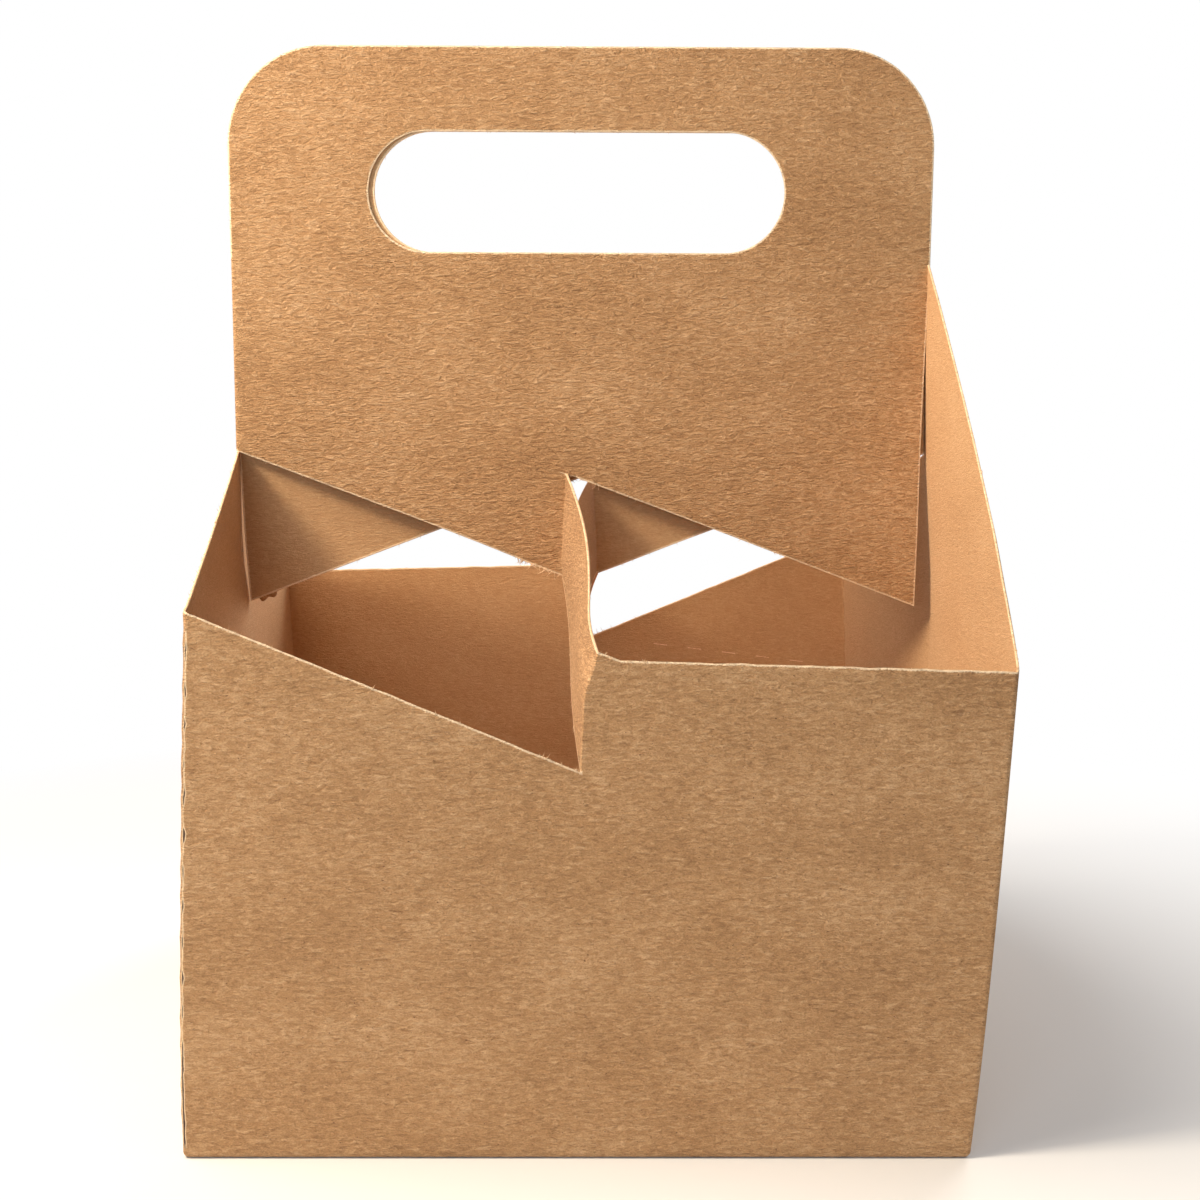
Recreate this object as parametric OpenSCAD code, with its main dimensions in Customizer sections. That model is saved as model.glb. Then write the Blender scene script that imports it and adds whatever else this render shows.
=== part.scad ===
// Cup carrier tray with a centre handle, folded and glued from one kraft blank.
// Frame: origin at the middle of the base, X along the handle, +Z up, front panel towards -Y.
// Each half of the blank makes one wide panel, two half side walls, one handle ply and one strap.
// The second half is the first one turned by half a turn about the upright axis.

/* [Board] */
// Thickness of the kraft board
board_t = 0.6; // [0.4:0.05:1]
// Outer radius of the upright folds at the four corners
fold_r = 1.6; // [1.2:0.1:3]
// Radius of the bead that a pressed crease raises
crease_r = 0.7; // [0.5:0.05:1]

/* [Body] */
// Width of the front and back panels, and of the handle
body_w = 206; // [200:1:260]
// Depth from the front panel to the back panel
body_d = 203; // [150:1:206]
// Sideways lean of a wide panel's top edge, where the folded board springs back
spring_back = 6; // [0:0.5:12]
// Rise of a wide panel's notched corner, and drop of its other corner, from the same lean
panel_tilt = 3; // [0:0.5:6]

/* [Cut lines] */
// Height at which the lower cut line starts, on the crease of a side wall
crease_low_h = 175.5; // [168:0.5:185]
// Height at which the handle ply leaves the tall half of a side wall
crease_high_h = 232.4; // [200:0.2:240]
// Fall of both slanted cut lines for each millimetre along the blank
cut_slope = 0.372; // [0.3:0.002:0.4]

/* [Straps] */
// Height of a strap between the two slanted cut lines
strap_h = 30.9; // [20:0.1:40]
// Distance of a strap's folds from the middle of the handle
strap_offset = 4; // [2:0.5:8]

/* [Handle] */
// Height of the whole carrier
handle_h = 294; // [275:1:330]
// Radius of the handle's upper corners
handle_r = 28.5; // [10:0.5:40]
// Length of the hand slot
slot_w = 123; // [90:1:140]
// Height of the hand slot, which has half-round ends
slot_h = 34.8; // [28:0.2:40]
// Board left above the hand slot
slot_bridge = 24.6; // [20:0.2:35]
// Sideways shift of the hand slot in each ply
slot_shift = 1.4; // [0:0.2:3]
// Gap between the two handle plies
ply_gap = 0.3; // [0.2:0.05:1]
// Gap between a ply's free lower corner and the side wall
free_gap = 2; // [0.8:0.2:6]

/* [Base] */
// Depth of the side flaps folded over the base
side_flap_d = 64; // [30:1:90]
// Clearance between the side flaps and the wide panels
flap_clear = 3; // [1:0.5:8]
// Width of the seam where the two base flaps lock
seam_w = 0.8; // [0.4:0.1:2]
// Length of the hooked part of the seam
hook_w = 70; // [30:1:120]
// Depth of each hook from the middle of the base
hook_d = 16; // [8:1:30]
// Distance of the seam's ends from the side walls
seam_end = 6; // [3:1:20]

/* [Hidden] */
$fn = 64;
// Facets of a corner fold, and steps of half a side wall and of the height
corner_steps = 4;
wall_steps = 4;
level_steps = 5;
half_w = body_w / 2;
half_d = body_d / 2;
// Distance along the blank from a side crease to the strap's fold on the handle
strap_start = half_w - strap_offset;
// Heights where the two cut lines pass the folds of the blank
corner_low_h = crease_low_h - cut_slope * half_d;
notch_h = crease_low_h - cut_slope * (half_d + strap_start);
strap_low_h = crease_low_h - cut_slope * strap_start;
strap_top_h = strap_low_h + strap_h;
panel_strap_h = notch_h + strap_h;
panel_top_h = strap_top_h - cut_slope * (body_w - strap_start);
// Place along the panel where the strap's upper cut runs out into the level edge
chamfer_x = half_w - half_d;
slot_z = handle_h - slot_bridge - slot_h / 2;
// A ply's edge lies inside the wall at the crease, and runs out to full width just above it
crease_in = board_t / 2;
free_rise = 2 * board_t;
groove_d = board_t / 2;
kraft = [0.78, 0.6, 0.42];
kraft_inside = [0.85, 0.66, 0.47];

// Sideways shift of a wide panel at a height, from none at the base
function lean(z) = spring_back * z / panel_top_h;
// Height change of the same panel at a distance from its middle
function tilt(x) = -panel_tilt * x / half_w;
// A point of the plan at one height, where the lean grows from the handle to the panels
function plan_point(x, y, z) = [x - lean(z) * y / half_d, y, z];
// Height between two corner heights, a share of the way from the first
function between(low, high, share) = low + (high - low) * share;

// Columns of half the tube, from its front left fold to its right side wall.
// Each is a point inside the fold radius, the outward direction there and the height of the cut edge.
function half_columns() =
    let (w = half_w - fold_r, d = half_d - fold_r, edge = board_t / 2,
        low_corner = corner_low_h + tilt(-half_w), high_corner = panel_top_h + tilt(half_w))
    concat(
        [for (k = [0 : corner_steps])
            [[-w, -d], fold_direction(180, k), low_corner]],
        [for (p = [
                [-strap_offset - edge, notch_h],
                [-strap_offset + edge, panel_strap_h],
                [chamfer_x, panel_top_h]])
            [[p[0], -d], [0, -1], p[1] + tilt(p[0])]],
        [for (k = [0 : corner_steps])
            [[w, -d], fold_direction(270, k), high_corner]],
        [for (k = [1 : wall_steps])
            let (share = k / wall_steps)
            [[w, min(d * (share - 1), -edge)], [1, 0], between(high_corner, crease_high_h, share)]],
        [for (k = [0 : wall_steps - 1])
            let (share = k / wall_steps)
            [[w, max(d * share, edge)], [1, 0], between(crease_low_h, low_corner, share)]]);
// Outward direction at one step round a corner fold
function fold_direction(start, step) =
    let (a = start + 90 * step / corner_steps)
    [cos(a), sin(a)];
// The same columns turned by half a turn about the middle
function turned(columns) = [for (c = columns) [-c[0], -c[1], c[2]]];
// Points of all columns, a given depth inside the outer face, at a share of each one's height
function ring(columns, depth, share) =
    [for (c = columns)
        let (p = c[0] + (fold_r - depth) * c[1])
        plan_point(p[0], p[1], c[2] * share)];

// The four leaned walls, each column as high as the cut line above it
module tube() {
    columns = concat(half_columns(), turned(half_columns()));
    n = len(columns);
    points = [for (k = [0 : level_steps], depth = [0, board_t])
        each ring(columns, depth, k / level_steps)];
    function outer(k, i) = k * 2 * n + i % n;
    function inner(k, i) = outer(k, i) + n;
    polyhedron(points, concat(
        [for (k = [0 : level_steps - 1], i = [0 : n - 1])
            each [[outer(k, i), outer(k + 1, i), outer(k + 1, i + 1)],
                [outer(k, i), outer(k + 1, i + 1), outer(k, i + 1)]]],
        [for (k = [0 : level_steps - 1], i = [0 : n - 1])
            each [[inner(k, i), inner(k + 1, i + 1), inner(k + 1, i)],
                [inner(k, i), inner(k, i + 1), inner(k + 1, i + 1)]]],
        [for (i = [0 : n - 1])
            each [[outer(0, i), outer(0, i + 1), inner(0, i + 1)],
                [outer(0, i), inner(0, i + 1), inner(0, i)]]],
        [for (i = [0 : n - 1])
            let (k = level_steps)
            each [[outer(k, i), inner(k, i + 1), outer(k, i + 1)],
                [outer(k, i), inner(k, i), inner(k, i + 1)]]]));
}

// The outline of one handle ply: slanted lower edges, rounded upper corners and the hand slot
module ply_outline() {
    difference() {
        union() {
            polygon([
                [-half_w + crease_in, crease_low_h],
                [-strap_offset, strap_low_h],
                [-strap_offset, strap_top_h],
                [half_w - free_gap, panel_top_h],
                [half_w - crease_in, crease_high_h],
                [half_w, crease_high_h + free_rise],
                [half_w, handle_h - handle_r],
                [-half_w, handle_h - handle_r],
                [-half_w, crease_high_h + free_rise],
                [-half_w + crease_in, crease_high_h]]);
            for (side = [-1, 1])
                translate([side * (half_w - handle_r), handle_h - handle_r])
                    circle(handle_r);
            translate([handle_r - half_w, handle_h - 2 * handle_r])
                square([body_w - 2 * handle_r, 2 * handle_r]);
        }
        translate([-slot_shift, slot_z]) {
            square([slot_w - slot_h, slot_h], center = true);
            for (side = [-1, 1])
                translate([side * (slot_w - slot_h) / 2, 0])
                    circle(slot_h / 2);
        }
    }
}

// The front handle ply, which stays joined to the left side wall along its crease
module handle_ply() {
    translate([0, -ply_gap / 2, 0])
        rotate([90, 0, 0])
            linear_extrude(board_t)
                ply_outline();
    translate([board_t / 2 - half_w, 0, crease_low_h])
        cylinder(h = crease_high_h - crease_low_h, r = crease_r);
}

// The strap struck from between the two cut lines, from the handle's fold to the panel's fold
module strap() {
    near = -ply_gap / 2 - board_t / 2;
    far = board_t / 2 - half_d;
    rise = tilt(-strap_offset);
    corners = [
        [-strap_offset, near, strap_low_h],
        [-strap_offset, near, strap_top_h],
        plan_point(-strap_offset, far, notch_h + rise),
        plan_point(-strap_offset, far, panel_strap_h + rise)];
    polyhedron(
        [for (side = [-1, 1], p = corners) [p[0] + side * board_t / 2, p[1], p[2]]],
        [[0, 1, 3], [0, 3, 2], [4, 7, 5], [4, 6, 7],
            [1, 0, 4], [1, 4, 5], [2, 3, 7], [2, 7, 6],
            [0, 2, 6], [0, 6, 4], [3, 1, 5], [3, 5, 7]]);
    translate([-strap_offset, near, strap_low_h])
        cylinder(h = strap_h, r = crease_r);
}

// The two wide base flaps, locked by hooks along one seam, under the two side flaps
module base_flaps() {
    edge = board_t / 2;
    w = half_w - edge;
    d = half_d - edge;
    difference() {
        linear_extrude(board_t)
            polygon([
                [-w + fold_r, -d], [w - fold_r, -d], [w, -d + fold_r], [w, d - fold_r],
                [w - fold_r, d], [-w + fold_r, d], [-w, d - fold_r], [-w, -d + fold_r]]);
        translate([0, 0, -1])
            linear_extrude(1 + groove_d)
                for (turn = [0, 180])
                    rotate(turn)
                        seam_half();
    }
    for (turn = [0, 180])
        rotate([0, 0, turn])
            translate([0, 0, board_t / 2])
                linear_extrude(1.5 * board_t)
                    polygon([
                        [w, flap_clear - half_d],
                        [w, half_d - flap_clear],
                        [w - side_flap_d, half_d - flap_clear - side_flap_d],
                        [w - side_flap_d, side_flap_d + flap_clear - half_d]]);
}

// Half of the seam: a slanted line from the middle, round one hook and out towards the side
module seam_half() {
    path = [[0, 0], [hook_w / 4, hook_d], [hook_w / 2, hook_d / 2],
        [hook_w / 2, 0], [half_w - seam_end, 0]];
    for (k = [0 : len(path) - 2])
        seam_line(path[k], path[k + 1]);
}

// One straight stretch of the seam with round ends
module seam_line(a, b) {
    run = b - a;
    translate(a)
        rotate(atan2(run[1], run[0])) {
            translate([0, -seam_w / 2])
                square([norm(run), seam_w]);
            circle(seam_w / 2);
        }
    translate(b)
        circle(seam_w / 2);
}

module carrier() {
    color(kraft)
        tube();
    for (turn = [0, 180])
        rotate([0, 0, turn]) {
            color(kraft)
                handle_ply();
            color(kraft_inside)
                strap();
        }
    color(kraft_inside)
        base_flaps();
}

carrier();
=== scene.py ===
"""Looks of a cup carrier tray: one kraft board blank with a centre handle, folded and glued.

Everything is worked out in millimetres in the frame of the CAD part and scaled to metres at the end.
The blank has two equal halves. Each one is a sheet in blank coordinates, with s along the board and z up,
carried into space by a fold map. The second half is the first one after half a turn.
"""

import math

import bmesh
import bpy
import numpy as np
from mathutils import Matrix


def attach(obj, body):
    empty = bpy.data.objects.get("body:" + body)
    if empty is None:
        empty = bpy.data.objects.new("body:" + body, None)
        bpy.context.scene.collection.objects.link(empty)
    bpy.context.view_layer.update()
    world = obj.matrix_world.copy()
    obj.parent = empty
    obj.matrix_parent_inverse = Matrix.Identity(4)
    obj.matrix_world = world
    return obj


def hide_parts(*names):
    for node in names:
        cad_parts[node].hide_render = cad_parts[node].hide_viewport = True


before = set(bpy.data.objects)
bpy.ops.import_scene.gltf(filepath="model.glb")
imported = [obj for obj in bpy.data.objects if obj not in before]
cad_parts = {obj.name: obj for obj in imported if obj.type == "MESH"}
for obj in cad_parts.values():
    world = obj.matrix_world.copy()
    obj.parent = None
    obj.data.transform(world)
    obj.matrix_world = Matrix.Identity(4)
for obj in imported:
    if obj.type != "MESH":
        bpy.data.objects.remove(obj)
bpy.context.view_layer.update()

# Board
BOARD = 0.6
FOLD = 1.6
# Half width and half depth of the tube, and its cut heights
HALF_W = 103.0
HALF_D = 101.5
LEAN = 6.0
TILT = 3.0
CREASE_LOW = 175.5
CREASE_HIGH = 232.4
SLOPE = 0.372
STRAP = 30.9
STRAP_X = 4.0
PANEL_FOLD_X = 3.5
PANEL_TOP = 129.8
WIDEST = 108.74
NOTCH = CREASE_LOW - SLOPE * (HALF_D + HALF_W - STRAP_X)
CORNER_LOW = CREASE_LOW - SLOPE * HALF_D
# Handle
PLY_W = 104.0
TOP = 293.7
TOP_R = 28.5
# Middle of the hand slot in the front ply and in the rear one, each in its own half's frame
SLOT_X = {1: -1.4, -1: -0.5}
SLOT_Z = 252.0
SLOT_R = 17.4
SLOT_HALF = 61.5
PLY_Y = 0.75
# Lengths along half of the blank: to the first corner fold, round it, along the panel
RUN_WALL = HALF_D - FOLD
ARC = math.pi * FOLD / 2
RUN_PANEL = 2 * (HALF_W - FOLD)
S_CORNER = RUN_WALL + ARC / 2
S_STRAP = RUN_WALL + ARC + HALF_W - FOLD - PANEL_FOLD_X
S_CORNER_2 = RUN_WALL + 1.5 * ARC + RUN_PANEL
S_END = 2 * RUN_WALL + 2 * ARC + RUN_PANEL
# Distances of the close rows beside a cut edge, and the width of the pale band along it: pressed board,
# partly a painted highlight
EDGE_STEPS = np.array([0.15, 0.4, 0.75, 1.2])
EDGE_WIDTH = 1.0
# Share by which the foot is drawn in, and the height over which that fades
FOOT_SHRINK = 0.019
FOOT_FADE = 35
# Pitch of the cut dashes in the perforated corner fold, the height up to which it is split open and its top:
# both drawn as painted shade, not cut
CUT_PITCH = 9.2
SLIT_TOP = 30
CUT_TOP = 137
# Count, length, height and pitch of the glue dashes, and the place of the first one along the blank
DASHES = 5
DASH_LENGTH = 5
DASH_HIGH = 0.35
DASH_PITCH = 12.6
DASH_START = 117
# Thickness of the torn tab, which is one layer of the board
TAB_THICK = 0.35
# The photo's lens in pixels of its 1200 px width, and the camera's pitch, yaw and roll in degrees
LENS_PX = 1620.105
PHOTO_PX = 1200
CAMERA_ANGLES = (7.955, 0.47, 0.223)
CAMERA_PLACE = (0.002043, -0.491907, 0.198991)
# Rows of the lower band, of the band beside the strap and of the handle
ROWS_LOW = 40
ROWS_STRAP = 14
ROWS_PLY = 30
ROWS_TOP = 12


def smooth(t):
    """The S curve 3t^2 - 2t^3 between 0 and 1, flat outside."""
    t = np.clip(t, 0, 1)
    return t * t * (3 - 2 * t)


def wander(t, seed, scale):
    """A sum of six sines of the distance t, with seeded wavelengths and phases, about -1 to 1."""
    rng = np.random.default_rng(seed)
    waves = scale * rng.uniform(0.35, 2.2, 6)
    phases = rng.uniform(0, 2 * math.pi, 6)
    t = np.asarray(t, float)[..., None]
    return np.sin(2 * math.pi * t / waves + phases).sum(-1) / 3


def banded(low, high, count, below=True):
    """Row heights from low to high for each column, with close rows at the upper end, and at the lower
    one where that is a cut edge too."""
    low, high = np.broadcast_arrays(np.asarray(low, float)[:, None], np.asarray(high, float)[:, None])
    start = low + (EDGE_STEPS[-1] if below else 0)
    stop = high - EDGE_STEPS[-1]
    rows = [start + (stop - start) * np.linspace(0, 1, count)]
    if below:
        rows = [low, low + EDGE_STEPS[:-1]] + rows
    return np.concatenate(rows + [high - EDGE_STEPS[-2::-1], high], 1)


def stations(start, stop, step, marks, reach=(0.0, 0.25, 0.6, 1.1, 1.8, 2.8)):
    """Places from start to stop, at most a step apart, with closer ones on both sides of each mark."""
    plain = np.linspace(start, stop, max(2, int(math.ceil((stop - start) / step)) + 1))
    near = [m + side * r for m in marks for r in reach for side in (-1, 1)]
    places = np.concatenate([plain, np.clip(near, start, stop)])
    return np.unique(np.round(places, 3))


def outline(s):
    """Plan of half the tube's outer face: a half wall, a quarter circle, the panel, a quarter circle and
    a half wall. Gives x, y and the outward direction at each distance s along the board."""
    first = np.clip((s - RUN_WALL) / ARC, 0, 1) * math.pi / 2
    second = np.clip((s - RUN_WALL - ARC - RUN_PANEL) / ARC, 0, 1) * math.pi / 2
    along = np.clip(s - RUN_WALL - ARC, 0, RUN_PANEL)
    x = -HALF_W + FOLD * (1 - np.cos(first)) + along + FOLD * np.sin(second)
    y = -np.clip(s, 0, RUN_WALL) - FOLD * np.sin(first) + FOLD * (1 - np.cos(second))
    y = y + np.clip(s - RUN_WALL - 2 * ARC - RUN_PANEL, 0, None)
    heading = first + second - math.pi / 2
    return x, y, np.sin(heading), -np.cos(heading)


def crease_swell(z, side):
    """How far a side wall's middle crease stands out of its plane: most at the right, 100 to 130 mm up."""
    right = np.interp(z, [0, 60, 100, 120, 130, 142, 158, 169, 200, 232],
                      [0, 3.4, 5.3, 5.4, 5.2, 4.6, 3.2, 2.4, 1.5, 1.1])
    left = np.interp(z, [0, 90, 112, 128, 145, 175, 232], [0, -0.6, -0.9, -0.7, 1.2, 1.0, 1.0])
    return np.where(side > 0, right, left)


def settled(x, y, z, turn):
    """Where a point of the square tube comes to rest: the panels lean sideways, the base is drawn in
    and the side walls swell towards their middle crease, each a smooth function of place and height."""
    x = x - LEAN * z / PANEL_TOP * y / HALF_D
    x = x * (1 - FOOT_SHRINK * np.exp(-z / FOOT_FADE))
    middle = np.clip(1 - np.abs(y) / HALF_D, 0, 1)
    side = smooth((np.abs(x) - 60) / 40)
    x = x + np.sign(x) * crease_swell(z, x * turn) * middle * side
    return np.clip(x, -WIDEST, WIDEST), y, z


def base_round(z):
    """How far the board stands inside its outer face at a height, a quarter circle above the floor."""
    share = np.clip(1 - z / FOLD, 0, 1)
    return FOLD * (1 - np.sqrt(1 - share * share))


def corner_dashes(s, z):
    """The perforated corner fold: the uncut bridges stand out a little between the cut dashes."""
    dash = smooth(3.2 * np.sin(2 * math.pi * (z + 1.5 * wander(z, 31, 40)) / CUT_PITCH) + 0.4)
    return 0.3 * dash * np.exp(-(((s - S_CORNER + ARC / 2) / 0.9) ** 2)) * smooth((z - 2) / 6)


def tube_sheet(s, rows, turn, edge=None):
    """A grid of the tube: each column s of the plan, raised to the heights in its row array. The panels
    bow inwards as a half sine across, with seeded ripples, and the panel is pulled to +X beside the strap."""
    x, y, nx, ny = (v[:, None] for v in outline(s))
    mask = np.clip(1 - (edge[:, None] - rows) / EDGE_WIDTH, 0, 1) if edge is not None else 0 * rows
    inset = base_round(rows) + 0.14 * mask**2 + 0.22 - corner_dashes(s[:, None], rows) * 0.7
    x = x - nx * inset
    y = y - ny * inset
    bow = 0.5 * np.sin(math.pi * (x + HALF_W) / (2 * HALF_W)) * smooth(rows / 60) * np.abs(ny)
    ripple = 0.25 * (1.4 + wander(x + 0.6 * rows, 11 + int(turn), 120)) * np.abs(ny) * smooth(rows / 30)
    y = y - ny * (bow + np.clip(ripple, 0, None))
    x, y, z = settled(x, y + 0 * rows, rows + 0 * x, turn)
    past_fold = s[:, None] > S_STRAP - 0.01
    pull = 2.6 * smooth((z - 119) / 12) * np.exp(-(((s[:, None] - S_STRAP) / 9) ** 2)) * past_fold
    return np.stack([x + pull, y, z], -1), np.stack([s[:, None] + 0 * rows, rows + 0 * x], -1), mask


def lower_rows(height):
    """Heights of the lower band for each column: a few close rows round the base fold, then even ones."""
    foot = np.array([0, 0.12, 0.35, 0.7, 1.15])
    return np.concatenate([foot + 0 * height[:, None], banded(FOLD + 0 * height, height, ROWS_LOW, False)], 1)


def low_wall(turn):
    """The front left half wall and the panel up to the strap's fold, as high as the lower cut line."""
    s = stations(0, S_STRAP, 3.5, [0, S_CORNER - ARC / 2, S_CORNER, S_CORNER + ARC / 2, S_STRAP])
    height = np.interp(s, [0, S_CORNER, S_STRAP], [CREASE_LOW, CORNER_LOW + TILT + 0.5, NOTCH])
    height = height + 0.1 * wander(s, 5, 9) * smooth(s / 4) * smooth((S_STRAP - s) / 2)
    return tube_sheet(s, lower_rows(height), turn, height)


def high_wall(turn):
    """The rest of the panel and the tall half wall: a band up to the notch, then one up to the cut edge."""
    chamfer = S_STRAP + 6.8
    s = stations(S_STRAP, S_END, 3.5,
                 [S_STRAP, chamfer, S_CORNER_2 - ARC / 2, S_CORNER_2, S_CORNER_2 + ARC / 2, S_END])
    top = np.interp(s, [S_STRAP, chamfer, S_CORNER_2, S_END],
                    [NOTCH + STRAP - 0.6, PANEL_TOP - 0.5, PANEL_TOP - TILT, CREASE_HIGH])
    top = top + 0.1 * wander(s, 6, 9) * smooth((s - S_STRAP) / 2) * smooth((S_END - s) / 4)
    notch = np.full(len(s), NOTCH)
    rows = np.concatenate([lower_rows(notch), banded(notch, top, ROWS_STRAP)[:, 1:]], 1)
    return tube_sheet(s, rows, turn, top)


def ply_bow(x, z):
    """How far a handle ply stands forward of the middle plane: nothing at the slot, most at its free edge."""
    free = smooth((x + PLY_W) / 120)
    return 2.4 * smooth((222 - z) / 80) * free + 0.5 * smooth((200 - z) / 60)


def ply_place(x, z, turn):
    """A point of the ply's front face: its free side draws in a little below the slot, its folded side
    follows the side wall's crease, and it bows forward."""
    right = np.interp(z, [130, 176, 230, 262], [101.9, 102.6, 104.1, 104.2]) / PLY_W
    if turn < 0:
        right = np.interp(z, [130, 150, 176, 230, 262], [101.6, 102.9, 103.5, 104.1, 104.2]) / PLY_W
    crease = HALF_W + crease_swell(z, -turn)
    left = (crease + (PLY_W - crease) * smooth((z - 200) / 50)) / PLY_W
    real = x * np.where(x > 0, right, 1 + (left - 1) * (x / PLY_W) ** 2)
    near_strap = np.exp(-(((x + STRAP_X) / 22) ** 2))
    real = real - (0.7 + 1.2 * smooth((172 - z) / 30)) * near_strap * smooth((215 - z) / 40)
    mask = np.clip(1 - ply_margin(x, z, SLOT_X[turn]) / EDGE_WIDTH, 0, 1)
    fold = np.clip((1.6 - PLY_W - x) / 1.6, 0, 1) * smooth((CREASE_HIGH + 1.5 - z) / 1.5)
    y = -(PLY_Y + ply_bow(x, z)) * np.sqrt(1 - fold * fold) + 0.14 * mask**2
    return np.stack([real, y + 0 * z, z + 0 * x], -1), np.stack([x + PLY_W + 0 * z, z + 0 * x], -1), mask


def ply_margin(x, z, slot_x):
    """Distance of a point of the ply from its nearest cut edge: the slanted lower ones, the slot,
    the rounded top and the two sides, of which the left one is a fold up to the tall wall's height."""
    lower = CREASE_LOW - SLOPE * (x + PLY_W) + np.where(x > -STRAP_X, STRAP, 0)
    past = np.clip(np.abs(x - slot_x) - (SLOT_HALF - SLOT_R), 0, None)
    slot = np.hypot(past, z - SLOT_Z) - SLOT_R
    over, out = z - (TOP - TOP_R), np.abs(x) - (PLY_W - TOP_R)
    corner = TOP_R - np.hypot(np.clip(over, 0, None), np.clip(out, 0, None))
    side = np.where((x < 0) & (z < CREASE_HIGH), 9.0, PLY_W - np.abs(x))
    outer = np.where((over > 0) & (out > 0), corner, np.minimum(side, TOP - z))
    return np.minimum(np.minimum((z - lower) * 0.937, slot), outer)


def slot_rise(x, slot_x):
    """Half height of the stadium slot at a place along it, from the circles at its ends."""
    past = np.clip(np.abs(x - slot_x) - (SLOT_HALF - SLOT_R), 0, SLOT_R)
    return np.where(np.abs(x - slot_x) < SLOT_HALF, np.sqrt(np.clip(SLOT_R**2 - past**2, 0, None)), 0)


def ply_columns(start, stop, slot_x):
    """Columns of the ply, closer together where the slot's ends and the upper corners turn."""
    round_off = np.sin(np.linspace(0, math.pi / 2, 15))
    ends = [slot_x + side * (SLOT_HALF - SLOT_R + SLOT_R * round_off) for side in (-1, 1)]
    corners = [side * (PLY_W - TOP_R + TOP_R * round_off) for side in (-1, 1)]
    plain = np.arange(-PLY_W, PLY_W + 0.1, 4)
    sides = [side * (PLY_W - EDGE_STEPS) for side in (-1, 1)]
    past = [slot_x + side * (SLOT_HALF + EDGE_STEPS) for side in (-1, 1)]
    places = np.concatenate([plain, *ends, *corners, *sides, *past, [start, stop]])
    places = np.unique(np.round(places, 3))
    return places[(places >= start - 1e-6) & (places <= stop + 1e-6)]


def ply_left(turn):
    """The ply from the side crease to the strap's fold: one band as high as the strap, one up to the slot."""
    x = ply_columns(-PLY_W, -STRAP_X, SLOT_X[turn])
    low = CREASE_LOW - SLOPE * (x + PLY_W)
    joint = low + STRAP
    mid = SLOT_Z - slot_rise(x, SLOT_X[turn])
    rows = np.concatenate([banded(low, joint, ROWS_STRAP), banded(joint, mid, ROWS_PLY)[:, 1:]], 1)
    return ply_place(x[:, None], rows, turn)


def ply_right(turn):
    """The ply from the strap's fold to its free edge, from the upper cut line up to the slot."""
    x = ply_columns(-STRAP_X, PLY_W, SLOT_X[turn])
    low = CREASE_LOW - SLOPE * (x + PLY_W) + STRAP
    mid = SLOT_Z - slot_rise(x, SLOT_X[turn])
    return ply_place(x[:, None], banded(low, mid, ROWS_PLY), turn)


def ply_top(turn):
    """The ply from the slot's upper edge to the rounded top."""
    x = ply_columns(-PLY_W, PLY_W, SLOT_X[turn])
    past = np.clip(np.abs(x) - (PLY_W - TOP_R), 0, TOP_R)
    top = TOP - TOP_R + np.sqrt(TOP_R**2 - past**2)
    low = SLOT_Z + slot_rise(x, SLOT_X[turn])
    return ply_place(x[:, None], banded(low, top, ROWS_TOP), turn)


def strap_sheet(turn):
    """The strap: its plan turns from the ply towards the panel over two small arcs, straight between,
    and each row falls evenly. The sum of its short steps is then eased to meet the panel's fold.
    Its upper edge springs out towards +X over the first three quarters, a little back before the panel."""
    length = HALF_D - PLY_Y
    s = stations(0, length, 3, [0.3, length - 0.4], reach=(0, 0.12, 0.25, 0.4, 0.6, 0.9, 1.3, 2))
    share = (s / length)[:, None]
    ends = banded(np.zeros(1), np.full(1, STRAP), ROWS_STRAP)
    rise = ends / STRAP
    low_a = CREASE_LOW - SLOPE * (PLY_W - STRAP_X)
    z = (1 - share) * (low_a + ends) + share * (NOTCH + (STRAP - 0.6) * rise)
    start = ply_place(np.full((1, 1), -STRAP_X), low_a + ends, turn)[0]
    goal = tube_sheet(np.array([S_STRAP]), NOTCH + (STRAP - 0.6) * rise, turn)[0]
    turn_in = smooth(s / 0.6) * (1 - smooth((s - length + 0.8) / 0.8))
    heading = (-math.pi / 2 * turn_in)[:, None]
    step = np.diff(s, prepend=0)[:, None]
    dx = np.cumsum(np.cos(heading) * step, 0)
    dy = np.cumsum(np.sin(heading) * step, 0)
    x = start[..., 0] + dx + share * (goal[..., 0] - start[..., 0] - dx[-1:])
    y = start[..., 1] + dy + share * (goal[..., 1] - start[..., 1] - dy[-1:])
    spring = 2.3 * np.sin(math.pi * np.clip(share / 0.75, 0, 1))
    spring = spring - 0.8 * np.sin(math.pi * np.clip(share * 4 - 3, 0, 1))
    x = x + spring * rise + 0.6 * np.sin(2 * math.pi * share) * (1 - rise)
    mask = np.clip(1 - np.minimum(ends, STRAP - ends) / EDGE_WIDTH, 0, 1) + 0 * x
    return np.stack([x, y, z], -1), np.stack([PLY_W - STRAP_X + share * 101 + 0 * rise, z], -1), mask


def base_seam(x):
    """The S line where the two wide base flaps hook together: a hook each way from the middle."""
    a = np.abs(x)
    return np.sign(x) * np.interp(a, [0, 17.5, 34.9, 35.1, 200], [0, 16, 8, 0, 0])


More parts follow.
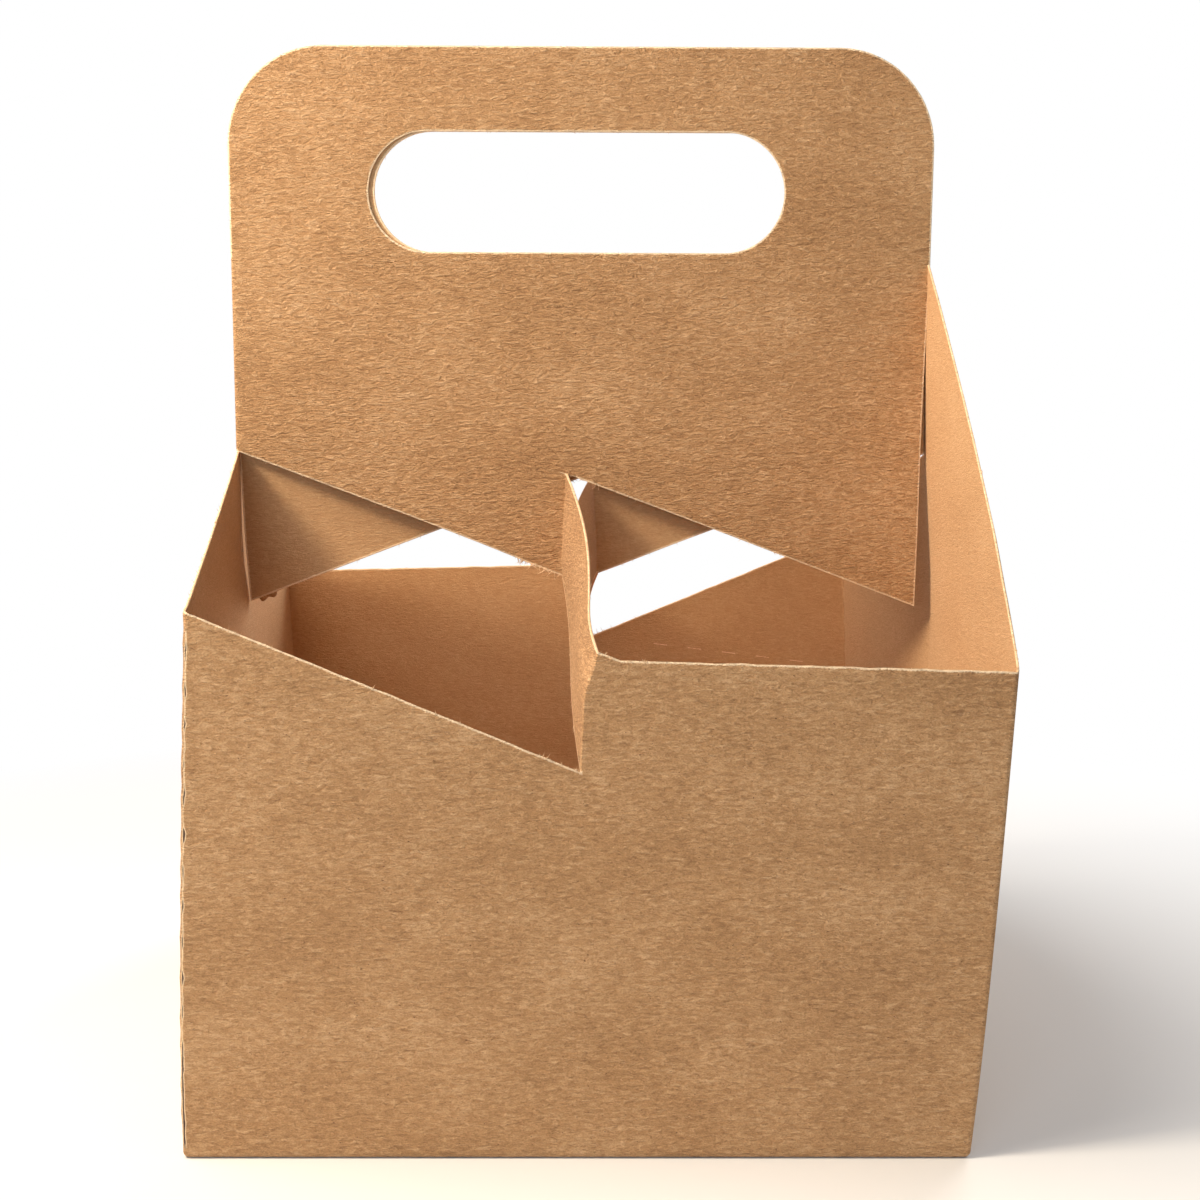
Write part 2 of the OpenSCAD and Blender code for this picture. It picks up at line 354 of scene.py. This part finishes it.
def wide_flap():
    """One wide base flap, from the panel's base fold to the seam, with its outer face down."""
    spans = [(-101, -36, 16), (-35.1, 35.1, 25), (36, 101, 16)]
    x = np.concatenate([np.linspace(*span) for span in spans])[:, None]
    start = -(HALF_D - FOLD)
    share = np.linspace(0, 1, 13)[None, :]
    y = start + (base_seam(x) - 0.3 - start) * share
    x = x * (1 - FOOT_SHRINK)
    z = 0.02 + 0 * x + 0.2 * share * smooth((np.abs(x) - 30) / 60)
    blank = np.stack([x + PLY_W + HALF_D + 0 * y, y + 0 * x], -1)
    return np.stack([x + 0 * y, y, z + 0 * y], -1)[::-1], blank[::-1], 0 * y[::-1]


def side_flap():
    """One side base flap, a trapezoid from the side wall inwards, lying on the wide flaps."""
    share = np.linspace(0, 1, 13)[:, None]
    across = np.linspace(-1, 1, 25)[None, :]
    half = HALF_D - 4 - 60 * share
    x = -HALF_W + 2.9 + 63 * share
    y = across * half
    z = 0.95 + 1.2 * share + 0 * y
    return np.stack([x + 0 * y, y, z], -1)[::-1], np.stack([y + 0 * x, x + 0 * y], -1)[::-1], 0 * y[::-1]


def add(name, data):
    """An object in the scene that shows the data."""
    made = bpy.data.objects.new(name, data)
    bpy.context.scene.collection.objects.link(made)
    return made


def add_mesh(name, points, faces, *finishes):
    """A new mesh and its object, from points in millimetres and lists of corner numbers."""
    mesh = bpy.data.meshes.new(name)
    mesh.from_pydata(points / 1000, [], faces)
    for finish in finishes:
        mesh.materials.append(finish)
    return mesh, add(name, mesh)


def board(name, sheets, turns, weld=True):
    """A board piece: the sheets' grids as quads with their blank places as a UV map, turned and welded,
    then given the board's thickness inwards, with its own finishes for the inner face and the cut edge."""
    points, blanks, masks, quads = [], [], [], []
    base = 0
    for (place, blank, mask), turn in zip(sheets, turns):
        n, m = place.shape[:2]
        ids = base + np.arange(n * m).reshape(n, m)
        quads.append(np.stack([ids[:-1, :-1], ids[1:, :-1], ids[1:, 1:], ids[:-1, 1:]], -1).reshape(-1, 4))
        points.append((place * [turn, turn, 1]).reshape(-1, 3))
        blanks.append(blank.reshape(-1, 2))
        masks.append((mask + 0 * place[..., 0]).ravel())
        base += n * m
    points, blanks, quads = np.concatenate(points), np.concatenate(blanks), np.concatenate(quads)
    mesh, piece = add_mesh(name, points, quads.tolist(), outer_finish, inner_finish, edge_finish)
    uv = mesh.uv_layers.new(name="blank")
    uv.data.foreach_set("uv", (blanks[quads.ravel()] / 1000).ravel())
    cut = mesh.attributes.new("cut", "FLOAT", "POINT")
    cut.data.foreach_set("value", np.concatenate(masks).astype(np.float32))
    work = bmesh.new()
    work.from_mesh(mesh)
    if weld:
        bmesh.ops.remove_doubles(work, verts=work.verts, dist=2e-5)
    bmesh.ops.dissolve_degenerate(work, edges=work.edges, dist=1e-6)
    work.to_mesh(mesh)
    work.free()
    mesh.shade_smooth()
    thick = piece.modifiers.new("thickness", "SOLIDIFY")
    thick.thickness = BOARD / 1000
    thick.offset = -1
    thick.material_offset = 1
    thick.material_offset_rim = 2
    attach(piece, "root")
    return piece


def plain_piece(name, points, faces, finish):
    """A small piece from points in millimetres and lists of corner numbers, with one finish."""
    mesh, piece = add_mesh(name, points, faces, finish)
    uv = mesh.uv_layers.new(name="blank")
    corners = np.zeros(len(mesh.loops), int)
    mesh.loops.foreach_get("vertex_index", corners)
    uv.data.foreach_set("uv", (points[corners][:, [0, 2]] / 1000).ravel())
    mesh.shade_smooth()
    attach(piece, "root")


def cut_line(sheet, row, turn):
    """A cut edge of a sheet as it stands: its points, and the direction out of the board at each."""
    place = sheet[0] * [turn, turn, 1]
    out = place[:, row] - place[:, 1 if row == 0 else -2]
    return place[:, row], out / np.linalg.norm(out, axis=1, keepdims=True)


def torn_fibres(edges, seed):
    """Fibres pulled out of the cut edges. Each starts at a random share of its edge's length, heads out by
    a random blend of the way out, the run of the edge and the way to the front, and curls along a parabola.
    Its section is a triangle that tapers to the tip."""
    rng = np.random.default_rng(seed)
    starts, aims, sizes = [], [], []
    for (points, out), count, low, high, size in edges:
        gone = np.concatenate([[0], np.cumsum(np.linalg.norm(np.diff(points, axis=0), axis=1))])
        at = rng.uniform(low, high, count) * gone[-1]
        place, away = (np.stack([np.interp(at, gone, v[:, k]) for k in range(3)], 1) for v in (points, out))
        run = (points[-1] - points[0]) / np.linalg.norm(points[-1] - points[0])
        blend = rng.uniform(-1, 1, (count, 2))
        to_front = np.array([0, -0.35, 0]) * blend[:, 1:] ** 2
        aims.append(away * rng.uniform(0.25, 0.8, (count, 1)) + run * blend[:, :1] + to_front)
        starts.append(place - away * 0.15)
        sizes.append(size * rng.uniform(0.35, 1.0, count) ** 1.5)
    start, aim, size = np.concatenate(starts), np.concatenate(aims), np.concatenate(sizes)
    aim /= np.linalg.norm(aim, axis=1, keepdims=True)
    side = np.cross(aim, rng.normal(size=aim.shape))
    side /= np.linalg.norm(side, axis=1, keepdims=True)
    up = np.cross(side, aim)
    steps = np.linspace(0, 1, 7)
    curl = side[:, None] * 0.55 * steps[:, None] ** 2
    line = start[:, None] + size[:, None, None] * (aim[:, None] * steps[:, None] + curl)
    thick = (0.07 + 0.05 * size)[:, None] * (1 - 0.8 * steps)
    turn = 2 * math.pi * np.arange(3) / 3
    ring = side[:, None] * np.cos(turn)[:, None] + up[:, None] * np.sin(turn)[:, None]
    points = line[:, :, None] + thick[:, :, None, None] * ring[:, None]
    points = np.clip(points, [-WIDEST, 0.05 - HALF_D, 0.05], [WIDEST, HALF_D - 0.05, TOP + 0.25])
    ids = np.arange(points[..., 0].size).reshape(points.shape[:3])
    after = np.roll(ids, -1, axis=2)
    quads = np.stack([ids[:, :-1], after[:, :-1], after[:, 1:], ids[:, 1:]], -1).reshape(-1, 4)
    caps = np.concatenate([ids[:, 0, ::-1], ids[:, -1]])
    return points.reshape(-1, 3), quads.tolist() + caps.tolist()


def glue_dashes(turn):
    """Short pale dashes of glue on the inner face of a wide panel: each is a narrow strip that follows
    the panel just clear of its inner face. Their row rises evenly along the blank."""
    points, quads = [], []
    for k in range(DASHES):
        s = np.linspace(0, DASH_LENGTH, 6) + DASH_START + DASH_PITCH * k
        height = 93 + 8 * (s - 115.8) / 65.5
        place = tube_sheet(s, height[:, None] + np.array([[0, DASH_HIGH]]), turn)[0] + [0, BOARD + 0.04, 0]
        ids = 12 * k + np.arange(12).reshape(6, 2)
        quads.append(np.stack([ids[:-1, :-1], ids[:-1, 1:], ids[1:, 1:], ids[1:, :-1]], -1).reshape(-1, 4))
        points.append((place * [turn, turn, 1]).reshape(-1, 3))
    return np.concatenate(points), np.concatenate(quads).tolist()


def torn_tab(turn):
    """The torn tab at a ply's lower free tip: a strip along the slanted edge whose section is a quarter
    circle, which leaves the board downwards and curls to the front."""
    x = np.linspace(PLY_W - 8.4, PLY_W - 2.6, 9)[:, None]
    bend = np.linspace(0, 1, 6)[None, :]
    deep = 1.7 * (0.75 + 0.25 * np.sin(1.9 * x)) * smooth((PLY_W - 2.4 - x) / 0.6)
    low = CREASE_LOW - SLOPE * (x + PLY_W) + STRAP + 0.1
    place = ply_place(x + 0 * bend, low - deep * np.sin(bend * math.pi / 2), turn)[0]
    place[..., 1] -= 0.15 + 1.1 * (1 - np.cos(bend * math.pi / 2))
    return place, np.stack([x + 0 * bend, low - deep * bend], -1), 0 * bend


class Wire:
    """One output of a finish's nodes. An expression on wires and numbers adds Math nodes."""

    def __init__(self, finish, socket):
        self.finish = finish
        self.socket = socket

    def math(self, operation, *values):
        return self.finish.node("Math", {"operation": operation}, dict(enumerate(values)))

    def __add__(self, other):
        return self.math("ADD", self, other)

    __radd__ = __add__

    def __mul__(self, other):
        return self.math("MULTIPLY", self, other)

    def __sub__(self, other):
        return self.math("SUBTRACT", self, other)

    def __rsub__(self, other):
        return self.math("SUBTRACT", other, self)

    def __abs__(self):
        return self.math("ABSOLUTE", self)

    def sine(self):
        return self.math("SINE", self)

    def clamp(self):
        return self.finish.node("Clamp", {}, {0: self})


class Finish:
    """A material's or the world's node tree, built by one method for every kind of node."""

    def __init__(self, name, family=bpy.data.materials):
        self.material = family.new(name)
        self.material.use_nodes = True
        self.tree = self.material.node_tree
        self.tree.nodes.clear()

    def node(self, kind, settings, inputs, out=0):
        """Adds a node: its settings first, then its sockets' values or links. Gives the chosen output,
        if the node has any."""
        made = self.tree.nodes.new("ShaderNode" + kind)
        for name, value in settings.items():
            if name == "stops":
                ramp = made.color_ramp.elements
                while len(ramp) < len(value):
                    ramp.new(0.5)
                for stop, (place, colour) in zip(ramp, value):
                    stop.position = place
                    stop.color = (*colour, 1)
            else:
                setattr(made, name, value)
        for key, value in inputs.items():
            if isinstance(value, Wire):
                self.tree.links.new(value.socket, made.inputs[key])
            else:
                made.inputs[key].default_value = value
        return Wire(self, made.outputs[out]) if made.outputs else None

    def ramp(self, value, *stops):
        """A number mapped through black-to-white stops: pairs of place and level."""
        return self.node("ValToRGB", {"stops": [(p, (v, v, v)) for p, v in stops]}, {0: value})

    def mix(self, factor, a, b):
        """Colour a where the factor is 0 and colour b where it is 1."""
        colours = [(*c, 1) if isinstance(c, tuple) else c for c in (a, b)]
        return self.node("Mix", {"data_type": "RGBA"}, {0: factor, 6: colours[0], 7: colours[1]}, 2)

    def show(self, shader, kind="Material"):
        """Sends a shader to the output and gives the finished material or world."""
        self.node("Output" + kind, {}, {0: shader})
        return self.material


def kraft(name, tone, dark, light, size, grain, speck, bump, edge, perforated=False):
    """Kraft board: a clouded tone, a felt of short wavy fibres that mostly lie along the board, dark specks
    and pale fibres, and a pale line of pressed board along each cut edge, made lighter by a painted
    highlight. A fibre is the thin line on which an anisotropic noise passes its middle value. All patterns
    run on the blank's own coordinates, so they pass round the folds. Where it is perforated, the front left
    fold is split open near the floor and cut in dashes above, with pale torn lips; the board is not opened
    there: the gaps are a dip in the bump with painted shade, a near-black colour in place of the shade inside
    them."""
    f = Finish(name)
    place = f.node("UVMap", {"uv_map": "blank"}, {})

    def noise(sx, sy, turn, detail, rough=0.6, shift=0.0, bend=0.0):
        sx, sy = 1000 * sx / size, 1000 * sy / size
        at = f.node("Mapping", {}, {0: place, 1: (shift, shift, 0), 2: (0, 0, turn), 3: (sx, sy, 1)})
        return f.node("TexNoise", {"noise_dimensions": "2D"},
                      {"Vector": at, "Scale": 1.0, "Detail": detail, "Roughness": rough, "Distortion": bend})

    def fibre(sx, sy, turn, shift, width):
        away = abs(noise(sx, sy, turn, 1.5, 0.5, shift, 0.5) - 0.5)
        return (1 - away * (1 / width)).clamp()

    def patches(sx, sy, detail, shift, start, full):
        return f.ramp(noise(sx, sy, 0, detail, 0.6, shift), (start, 0.0), (full, 1.0))

    cloud = noise(0.02, 0.03, 0.1, 3, 0.5)
    mottle = noise(0.10, 0.24, 0.0, 3, 0.6, 3.0)
    felt = noise(0.26, 1.00, 0.05, 3, 0.62, 1.0, 0.9)
    slant = noise(0.30, 0.90, 0.42, 3, 0.60, 9.0, 0.9)
    cross = noise(0.30, 0.90, -0.38, 3, 0.60, 5.0, 0.9)
    fine = noise(1.5, 2.4, 0.0, 2, 0.6, 7.0)
    pale = fibre(0.17, 0.62, 0.10, 21.0, 0.026) * patches(0.10, 0.4, 2, 41.0, 0.50, 0.62)
    pale_cross = fibre(0.20, 0.55, -0.40, 27.0, 0.024) * patches(0.2, 0.3, 2, 47.0, 0.50, 0.62)
    relief = felt * 1.3 + slant * 1.0 + cross * 1.0 + fine * 0.5 + pale * 0.28 + pale_cross * 0.25
    shade = ((mottle - 0.5) * 0.30 + (felt - 0.5) * 1.2 + (slant - 0.5) * 0.85 + (cross - 0.5) * 0.85
             + (fine - 0.5) * 0.9 + (cloud - 0.5) * 0.6) * grain + 0.5
    shade = (shade + pale * 0.22 * grain + pale_cross * 0.20 * grain).clamp()
    colour = f.node("ValToRGB", {"stops": [(0.0, dark), (0.5, tone), (1.0, light)]}, {0: shade})
    specks = f.ramp(noise(0.65, 1.0, 0.3, 1.5, 0.6, 13.0), (0.765, 0.0), (0.80, 1.0))
    hairs = fibre(0.05, 0.34, -0.7, 33.0, 0.010) * patches(0.12, 0.12, 1, 51.0, 0.66, 0.70)
    darkest = (0.40 * dark[0], 0.30 * dark[1], 0.30 * dark[2])
    colour = f.mix((specks + hairs * 0.6).clamp() * speck, colour, darkest)
    cut = f.node("Attribute", {"attribute_name": "cut"}, {}, 2)
    # The pale band along the cut edges: partly the pressed board's own colour, partly a painted highlight of
    # edges that catch the light.
    crushed_and_highlight = f.ramp(cut + (fine - 0.5) * 0.5 + (felt - 0.5) * 0.4, (0.42, 0.0), (0.66, 1.0))
    if perforated:
        across, up = (f.node("SeparateXYZ", {}, {0: place}, axis) * 1000 for axis in (0, 1))
        worn = f.node("TexNoise", {"noise_dimensions": "1D"}, {"W": up * 0.16, "Scale": 1.0, "Detail": 2.0})
        dash = (up * (2 * math.pi / CUT_PITCH)).sine().clamp()
        split = ((SLIT_TOP - up) * 0.25).clamp()
        half = split * 0.34 + dash * 0.22 * (1 - split) + (worn - 0.5) * 0.5
        off = abs(across - (S_CORNER + 0.45) - (worn - 0.5) * 0.8)
        there = (CUT_TOP - up).clamp() * ((up - 2.5) * 0.6).clamp()
        # Painted shade: where the fold is split, a near-black colour below stands in for the shade inside the
        # gap; the board is not cut.
        slit_shade_and_dip = ((half - off) * 7).clamp() * there
        lip = ((half + 0.34 - off) * 6).clamp() * there
        crushed_and_highlight = (crushed_and_highlight + lip * 0.75).clamp()
        relief = relief - slit_shade_and_dip * 1.5
    # Painted highlight in part: the edge band is lighter than pressed board alone.
    colour = f.mix(crushed_and_highlight * edge, colour, (1.0, 0.76, 0.50))
    # Painted shade inside the split and the dashes.
    if perforated:
        colour = f.mix(slit_shade_and_dip, colour, (0.070, 0.026, 0.014))
    bumped = f.node("Bump", {}, {"Strength": bump, "Distance": 0.0010 * size, "Height": relief})
    rough = 0.84 + (shade - 0.5) * 0.12
    return f.show(f.node("BsdfPrincipled", {}, {
        "Base Color": colour, "Roughness": rough, "Normal": bumped,
        "Specular IOR Level": 0.22, "Sheen Weight": 0.06, "Sheen Roughness": 0.6}))


outer_finish = kraft(
    "kraft_outer", tone=(0.54, 0.294, 0.131), dark=(0.35, 0.176, 0.072), light=(0.74, 0.46, 0.25),
    size=0.8, grain=0.95, speck=0.8, bump=0.75, edge=1.0, perforated=True)
inner_finish = kraft(
    "kraft_inner", tone=(0.60, 0.345, 0.165), dark=(0.47, 0.245, 0.105), light=(0.74, 0.48, 0.27),
    size=0.6, grain=0.55, speck=0.3, bump=0.4, edge=0.8)
edge_finish = kraft(
    "cut_edge", tone=(0.90, 0.61, 0.36), dark=(0.66, 0.41, 0.21), light=(0.97, 0.77, 0.53),
    size=0.8, grain=0.9, speck=0.1, bump=0.5, edge=0.0)

# Frayed cut edges: each with its count of fibres, the stretch of the edge they keep to and their length
frayed = []
for turn, name in ((1, "front_half"), (-1, "rear_half")):
    parts = (low_wall, high_wall, ply_left, ply_right, ply_top, strap_sheet)
    sheets = [part(turn) for part in parts]
    board(name, sheets, [turn] * len(sheets))
    low, high, left, right, top, strap = sheets
    frayed += [
        (cut_line(low, -1, turn), 34, 0.0, 1.0, 1.3), (cut_line(low, -1, turn), 16, 0.93, 1.0, 2.0),
        (cut_line(high, -1, turn), 26, 0.0, 1.0, 0.9), (cut_line(high, -1, turn), 12, 0.0, 0.05, 1.8),
        (cut_line(left, 0, turn), 22, 0.0, 1.0, 1.0),
        (cut_line(left, 0, turn), 24 + 18 * turn, 0.86, 1.0, 2.0 + 1.0 * turn),
        (cut_line(right, 0, turn), 24, 0.0, 1.0, 1.1), (cut_line(right, 0, turn), 9, 0.0, 0.12, 2.2),
        (cut_line(strap, -1, turn), 30, 0.0, 1.0, 1.0), (cut_line(strap, 0, turn), 24, 0.0, 1.0, 1.3),
        (cut_line(top, 0, turn), 26, 0.2, 0.8, 0.8)]
plain_piece("torn_fibres", *torn_fibres(frayed, 17), edge_finish)
plain_piece("glue_dashes", *glue_dashes(-1), edge_finish)
tab = board("torn_tab", [torn_tab(-1)], [-1], weld=False)
tab.modifiers["thickness"].thickness = TAB_THICK / 1000
board("base_flaps", [wide_flap(), wide_flap(), side_flap(), side_flap()], [1, -1, 1, -1], weld=False)
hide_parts("carrier")


def looked_at(f):
    """1 for rays of the camera, of mirror images and through glass, and 0 for rays that carry light."""
    seen, mirrored, through = (f.node("LightPath", {}, {}, ray) for ray in (0, 3, 6))
    return (seen + mirrored + through).clamp()


def floor_finish():
    """A pale floor that keeps the shadow near the object and turns to plain white further out."""
    f = Finish("pale_floor")
    place = f.node("TexCoord", {}, {}, 3)
    far = f.node("VectorMath", {"operation": "LENGTH"}, {0: place}, 1)
    away = f.ramp(far, (0.16, 0.0), (0.42, 1.0))
    looked = looked_at(f)
    matt = f.node("BsdfDiffuse", {}, {0: (0.78, 0.78, 0.78, 1)})
    white = f.node("Emission", {}, {0: (1, 1, 1, 1), 1: 1.0})
    return f.show(f.node("MixShader", {}, {0: away * looked, 1: matt, 2: white}))


def pale_floor():
    """A square floor just under the object."""
    corners = 3000 * np.array([[-1, -1, 0], [1, -1, 0], [1, 1, 0], [-1, 1, 0]], float)
    floor = add_mesh("floor", corners, [[0, 1, 2, 3]], floor_finish())[1]


def world_light(level):
    """A plain pale world that lights at its level and looks white to the camera and in reflections."""
    f = Finish("studio", bpy.data.worlds)
    bpy.context.scene.world = f.material
    fill = f.node("Background", {}, {0: (0.96, 0.98, 1.0, 1), 1: level})
    white = f.node("Background", {}, {0: (1, 1, 1, 1), 1: 1.0})
    f.show(f.node("MixShader", {}, {0: looked_at(f), 1: fill, 2: white}), "World")


def stand(holder, place, side, up, back):
    """Stands an object at a place in metres, with its own axes along side, up and back."""
    turn = Matrix([[*row, 0] for row in np.stack([side, up, back], 1)] + [[0, 0, 0, 1]])
    holder.matrix_world = Matrix.Translation(place) @ turn


def area_light(name, place, target, size, power, colour):
    """A square soft light at a place in metres, turned towards its target."""
    lamp = bpy.data.lights.new(name, "AREA")
    lamp.shape = "SQUARE"
    lamp.size = size
    lamp.energy = power
    lamp.color = colour
    away = np.array(place, float) - np.array(target, float)
    away /= np.linalg.norm(away)
    side = np.cross([0, 0, 1], away)
    side /= np.linalg.norm(side)
    stand(add(name, lamp), place, side, np.cross(away, side), away)


def camera():
    """The camera of the photograph: its place, pitch, yaw and roll as solved from the board's own corners."""
    pitch, yaw, roll = (math.radians(a) for a in CAMERA_ANGLES)
    flat = math.cos(pitch)
    ahead = np.array([math.sin(yaw) * flat, math.cos(yaw) * flat, -math.sin(pitch)])
    level = np.array([math.cos(yaw), -math.sin(yaw), 0])
    side = level * math.cos(roll) + np.cross(level, ahead) * math.sin(roll)
    up = np.cross(side, ahead)
    lens = bpy.data.cameras.new("camera")
    lens.lens = LENS_PX / PHOTO_PX * lens.sensor_width
    lens.clip_start = 0.01
    holder = add("camera", lens)
    stand(holder, CAMERA_PLACE, side, up, -ahead)
    bpy.context.scene.camera = holder


pale_floor()
world_light(0.26)
area_light("key", (-0.41, -0.20, 0.50), (0.0, 0.0, 0.15), 0.12, 3.5, (1.0, 0.86, 0.66))
area_light("front", (-0.26, -0.92, 0.34), (0.0, 0.0, 0.16), 0.40, 1.75, (0.74, 0.88, 1.0))
area_light("top", (-0.30, -0.12, 0.80), (0.0, 0.0, 0.10), 0.40, 4.3, (1.0, 0.88, 0.76))
area_light("rear", (0.50, 0.70, 0.42), (0.0, 0.0, 0.13), 0.50, 6.0, (1.0, 0.94, 0.88))
camera()
bpy.context.scene.view_settings.view_transform = "Standard"
